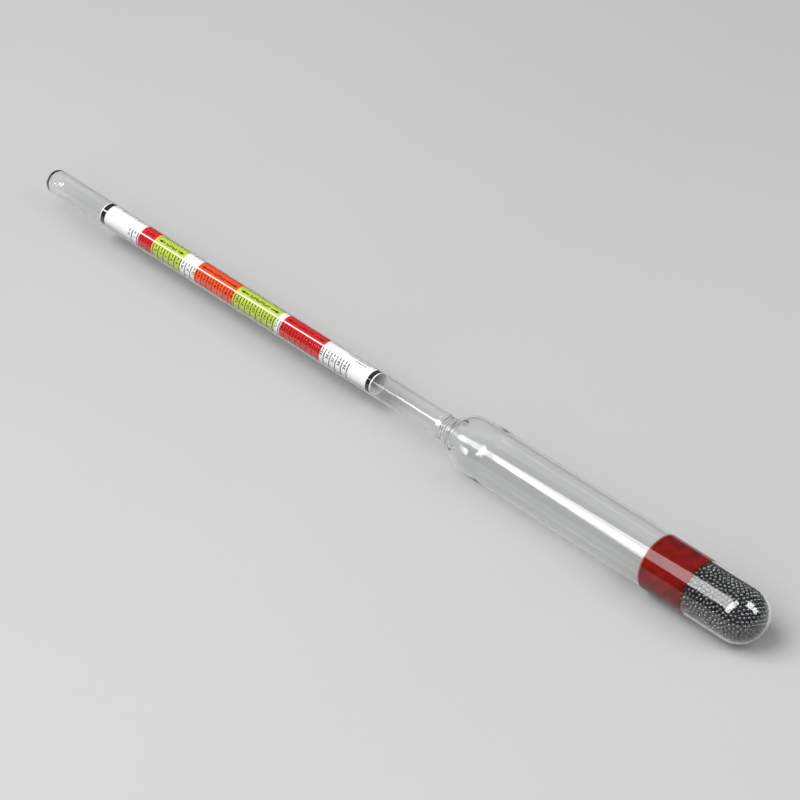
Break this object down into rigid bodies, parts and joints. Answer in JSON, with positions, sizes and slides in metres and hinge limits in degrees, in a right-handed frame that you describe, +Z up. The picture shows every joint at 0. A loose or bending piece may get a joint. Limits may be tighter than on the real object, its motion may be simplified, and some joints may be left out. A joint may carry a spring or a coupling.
{
  "type": "hydrometer",
  "caption": "Glass brewing hydrometer: a thin sealed stem with a rolled paper scale in coloured bands, on a long round float with steel shot and red wax in its domed base.",
  "frame": {"origin": "on the bench, under the middle of the hydrometer's length and width", "axes": "+X along the hydrometer's axis from the closed tip of the stem to the ballasted base, +Y across it, +Z up; the hydrometer lies on its side"},
  "size_m": [0.254, 0.0146, 0.0146],
  "materials": {
    "glass": "gloss",
    "scale_paper": "matte",
    "adhesive": "satin",
    "red_wax": "satin",
    "steel_shot": "satin"
  },
  "bodies": {
    "root": {"stem_tube": "glass", "neck_joint": "glass", "float_tube": "glass", "scale_paper": "scale_paper", "scale_adhesive": "adhesive", "wax_plug": "red_wax", "shot_ballast": "steel_shot"}
  },
  "joints": []
}
